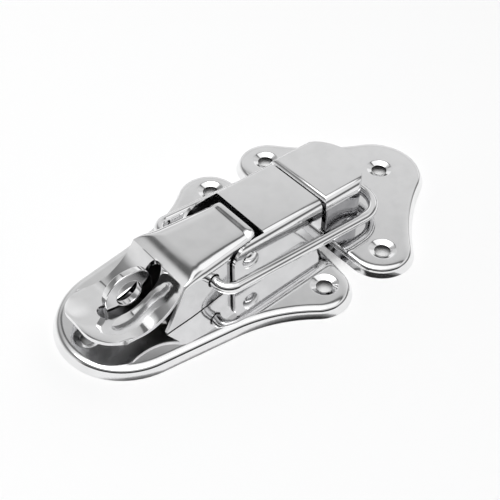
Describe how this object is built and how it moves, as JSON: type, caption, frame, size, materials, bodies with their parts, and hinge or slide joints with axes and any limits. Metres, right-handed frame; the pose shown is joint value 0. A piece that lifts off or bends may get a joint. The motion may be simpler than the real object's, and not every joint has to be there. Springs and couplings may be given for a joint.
{
  "type": "toggle latch",
  "caption": "Pressed-steel toggle latch: a hinged lever with an upturned lip draws a wire bail over a hooded keeper; the slotted lip drops over a padlock staple.",
  "frame": {"origin": "middle of the closed latch's footprint, on the surface that both plates are screwed to", "axes": "+X along the latch from the lever's lip to the catch, +Y across it, +Z away from the mounting surface"},
  "size_m": [0.1196, 0.065, 0.0172],
  "materials": {
    "plate_sheet": "bright plated sheet with a faint grain",
    "bracket_sheet": "bright plated sheet with a faint grain",
    "lever_sheet": "bright plated sheet",
    "pin_steel": "bright plated",
    "wire_steel": "bright plated",
    "staple_sheet": "bright plated",
    "keeper_sheet": "plated sheet"
  },
  "bodies": {
    "frame": {"base_plate": "plate_sheet", "bracket": "bracket_sheet", "lever_pin": "pin_steel", "padlock_staple": "staple_sheet", "catch_plate": "plate_sheet", "catch_hood": "bracket_sheet", "catch_keeper": "keeper_sheet"},
    "lever": {"lever": "lever_sheet"},
    "bail": {"bail": "wire_steel"}
  },
  "joints": [
    {"name": "lever_turn", "type": "hinge", "parent": "frame", "child": "lever", "pos_m": [-0.0103, 0, 0.0103], "axis": [0, 1, 0], "range_deg": [0, 90]},
    {"name": "bail_turn", "type": "hinge", "parent": "lever", "child": "bail", "pos_m": [-0.0215, 0, 0.0098], "axis": [0, 1, 0], "range_deg": [-85, 0]}
  ],
  "couplings": [
    {"joint": "bail_turn", "follows": "lever_turn", "ratio": -0.9}
  ]
}
